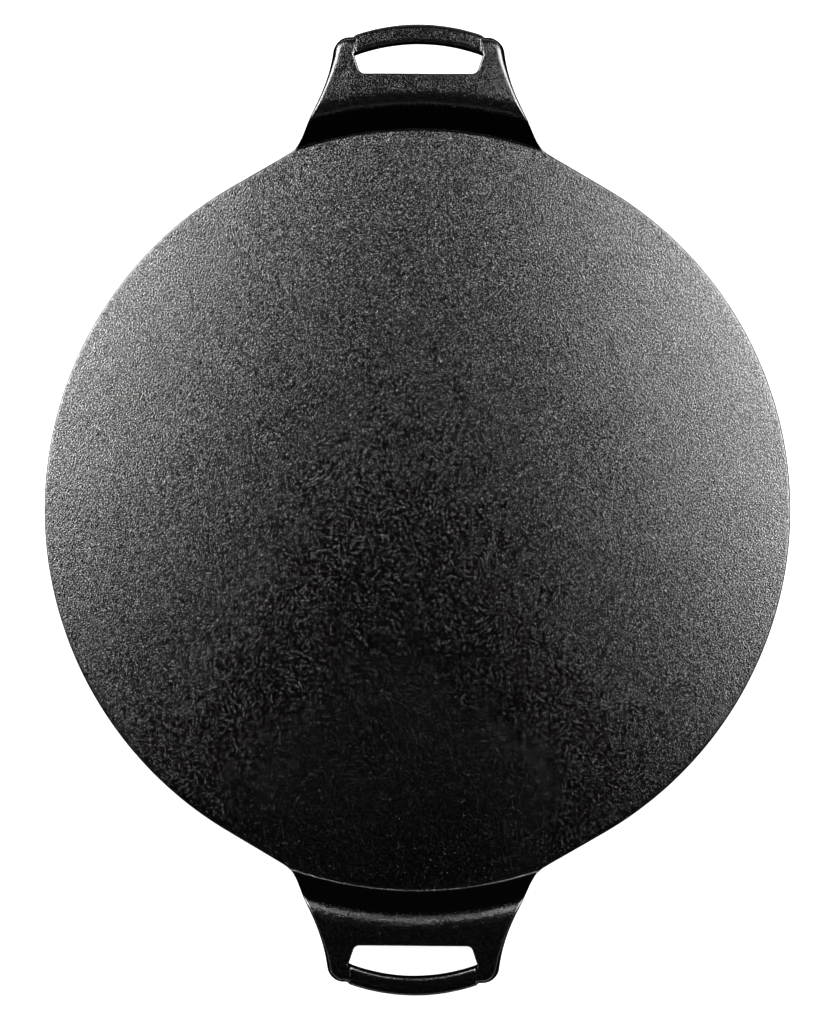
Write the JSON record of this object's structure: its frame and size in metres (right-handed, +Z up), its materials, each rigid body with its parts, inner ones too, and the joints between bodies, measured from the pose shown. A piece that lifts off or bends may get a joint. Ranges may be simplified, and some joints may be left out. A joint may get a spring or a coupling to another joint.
{
  "type": "pizza pan",
  "caption": "Flat round cast iron baking plate whose rim flares into a raised loop handle at each end.",
  "frame": {"origin": "centre of the underside, on the surface that the pan lies on", "axes": "+Z up out of the cooking surface, +Y from the middle of the plate to the back handle, +X to the right"},
  "size_m": [0.381, 0.49, 0.0235],
  "materials": {
    "cooking_surface": "as cast pebbled surface with baked oil seasoning, black, semi gloss",
    "handle_surface": "fine as cast surface with baked oil seasoning, black, semi gloss"
  },
  "bodies": {
    "root": {"cooking_plate": "cooking_surface", "back_handle_riser": "handle_surface", "back_handle_shelf": "handle_surface", "back_handle_right_arm": "handle_surface", "back_handle_left_arm": "handle_surface", "back_handle_grip": "handle_surface", "front_handle_riser": "handle_surface", "front_handle_shelf": "handle_surface", "front_handle_right_arm": "handle_surface", "front_handle_left_arm": "handle_surface", "front_handle_grip": "handle_surface"}
  },
  "joints": []
}
